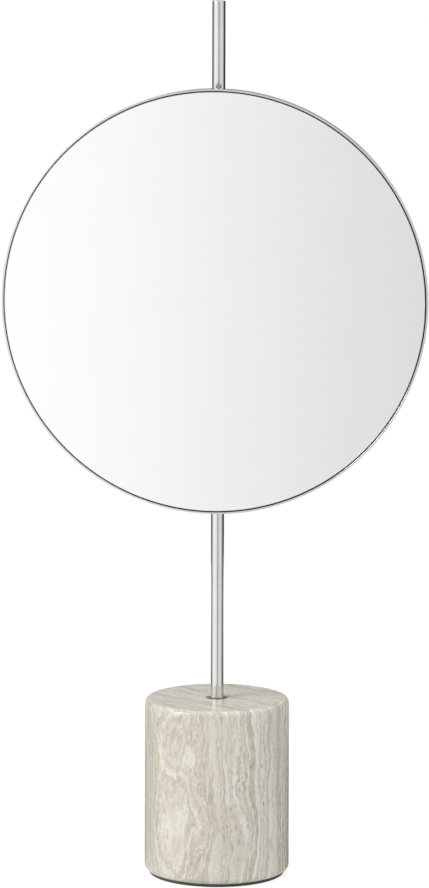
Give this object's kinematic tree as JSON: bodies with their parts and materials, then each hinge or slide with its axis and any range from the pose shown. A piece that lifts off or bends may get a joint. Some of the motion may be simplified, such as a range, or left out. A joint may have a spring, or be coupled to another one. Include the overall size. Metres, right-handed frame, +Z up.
{
  "type": "vanity mirror",
  "caption": "Table-top vanity mirror: a round metal-rimmed mirror that slides, turns and tilts on a steel rod standing in a polished stone base.",
  "frame": {"origin": "on the rod's axis at the underside of the base pad, where the mirror stands on a table", "axes": "+Z up along the rod, -Y the way the mirror faces, +X to the right of someone who looks at its face"},
  "size_m": [0.3, 0.104, 0.627],
  "materials": {
    "travertine": "honed and polished, vertical veins",
    "dark_pad": "matt, fine grain",
    "brushed_rod": "brushed along its length",
    "zinc_steel": "zinc plated",
    "spring_steel": "dark spring steel",
    "bush_plastic": "moulded nylon",
    "brushed_block": "turned and brushed",
    "clamp_brass": "turned",
    "knurled_steel": "knurled edge, turned face",
    "brushed_bracket": "brushed",
    "screw_steel": "plain stainless",
    "brushed_hoop": "brushed along its length",
    "silvered_glass": "silvered, polished arris",
    "black_gasket": "matt",
    "foam_tape": "soft foam",
    "fibreboard": "raw fibreboard",
    "brushed_cover": "brushed one way"
  },
  "bodies": {
    "stand": {"stone_base": "travertine", "base_pad": "dark_pad", "rod": "brushed_rod", "centring_collar": "zinc_steel", "large_washer": "zinc_steel", "spring_washer": "spring_steel", "base_nut": "zinc_steel"},
    "slide_bushes": {"slide_bush_upper": "bush_plastic", "slide_bush_lower": "bush_plastic"},
    "slider": {"slider_block": "brushed_block"},
    "clamp_tip": {"clamp_tip": "clamp_brass"},
    "clamp_screw": {"thumbscrew": "knurled_steel"},
    "mirror_head": {"tilt_pin": "zinc_steel", "friction_washers": "bush_plastic", "wave_washer": "spring_steel", "tilt_nut": "zinc_steel", "hinge_bracket": "brushed_bracket", "bracket_screws": "screw_steel", "nut_plate": "zinc_steel", "rim_hoop": "brushed_hoop", "mirror_glass": "silvered_glass", "edge_gasket": "black_gasket", "foam_strips": "foam_tape", "backing_board": "fibreboard", "back_cover": "brushed_cover", "cover_screws": "screw_steel"}
  },
  "joints": [
    {"name": "height_slide", "type": "slide", "parent": "stand", "child": "slide_bushes", "axis": [0, 0, 1], "range_m": [-0.137, 0.19]},
    {"name": "swivel", "type": "hinge", "parent": "slide_bushes", "child": "slider", "pos_m": [0, 0, 0.4175], "axis": [0, 0, 1], "continuous": true},
    {"name": "clamp_travel", "type": "slide", "parent": "slider", "child": "clamp_tip", "axis": [0, 1, 0], "range_m": [0, 0.0008]},
    {"name": "clamp_turn", "type": "hinge", "parent": "clamp_tip", "child": "clamp_screw", "pos_m": [0, 0.028, 0.4175], "axis": [0, 1, 0], "range_deg": [0, 360]},
    {"name": "tilt", "type": "hinge", "parent": "slider", "child": "mirror_head", "pos_m": [0, -0.0195, 0.4175], "axis": [1, 0, 0], "range_deg": [-8, 8]}
  ],
  "couplings": [
    {"joint": "clamp_turn", "follows": "clamp_travel", "rad_per_m": 7853.9}
  ]
}
